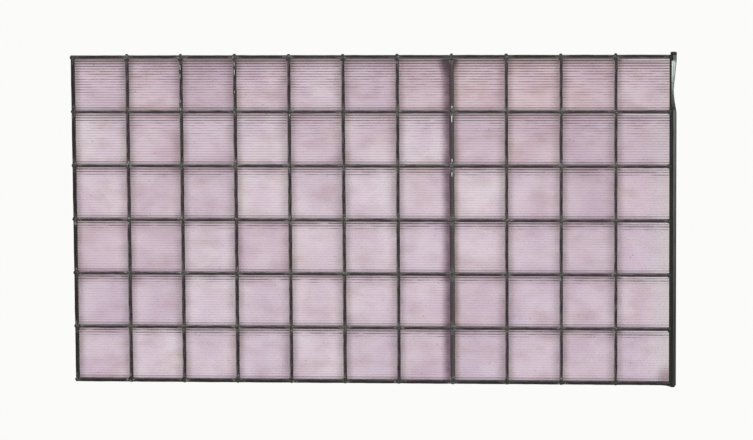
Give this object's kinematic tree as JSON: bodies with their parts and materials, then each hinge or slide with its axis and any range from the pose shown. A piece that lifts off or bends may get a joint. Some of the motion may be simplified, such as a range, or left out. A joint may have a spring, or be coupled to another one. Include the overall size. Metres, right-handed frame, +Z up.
{
  "type": "prism glass transom panel",
  "caption": "Fixed transom panel of square pressed prism tiles, smooth in front and ribbed behind, held in soldered zinc cames with a stiffening bar on the back",
  "frame": {"origin": "on the flat underside of the bottom border came, in the middle of the width of the tiles and of the depth of the cames", "axes": "+X to the right along the panel as seen from the smooth side, +Z up, +Y from the smooth front to the ribbed back"},
  "size_m": [1.1626, 0.0244, 0.6426],
  "materials": {
    "lilac_glass": "pressed glass turned pale lilac by the sun, fire polished, with dust and putty haze at the edges",
    "zinc_came": null,
    "steel_bar": "flat mild steel bar, galvanised and dulled, with a little rust",
    "solder": "tin and lead solder, tarnished grey with brighter rubbed tops"
  },
  "bodies": {
    "root": {"prism_tiles_column_01": "lilac_glass", "prism_tiles_column_02": "lilac_glass", "prism_tiles_column_03": "lilac_glass", "prism_tiles_column_04": "lilac_glass", "prism_tiles_column_05": "lilac_glass", "prism_tiles_column_06": "lilac_glass", "prism_tiles_column_07": "lilac_glass", "prism_tiles_column_08": "lilac_glass", "prism_tiles_column_09": "lilac_glass", "prism_tiles_column_10": "lilac_glass", "prism_tiles_column_11": "lilac_glass", "upright_came_01": "zinc_came", "upright_came_02": "zinc_came", "upright_came_03": "zinc_came", "upright_came_04": "zinc_came", "upright_came_05": "zinc_came", "upright_came_06": "zinc_came", "upright_came_07": "zinc_came", "upright_came_08": "zinc_came", "upright_came_09": "zinc_came", "upright_came_10": "zinc_came", "cross_cames_line_1": "zinc_came", "cross_cames_line_2": "zinc_came", "cross_cames_line_3": "zinc_came", "cross_cames_line_4": "zinc_came", "cross_cames_line_5": "zinc_came", "left_border_came": "zinc_came", "top_border_came": "zinc_came", "bottom_border_came": "zinc_came", "right_border_came": "zinc_came", "stiffening_bar": "steel_bar", "front_solder_joints": "solder", "back_solder_joints": "solder", "edge_solder_nubs": "solder", "top_corner_solder": "solder", "bottom_corner_solder": "solder"}
  },
  "joints": []
}
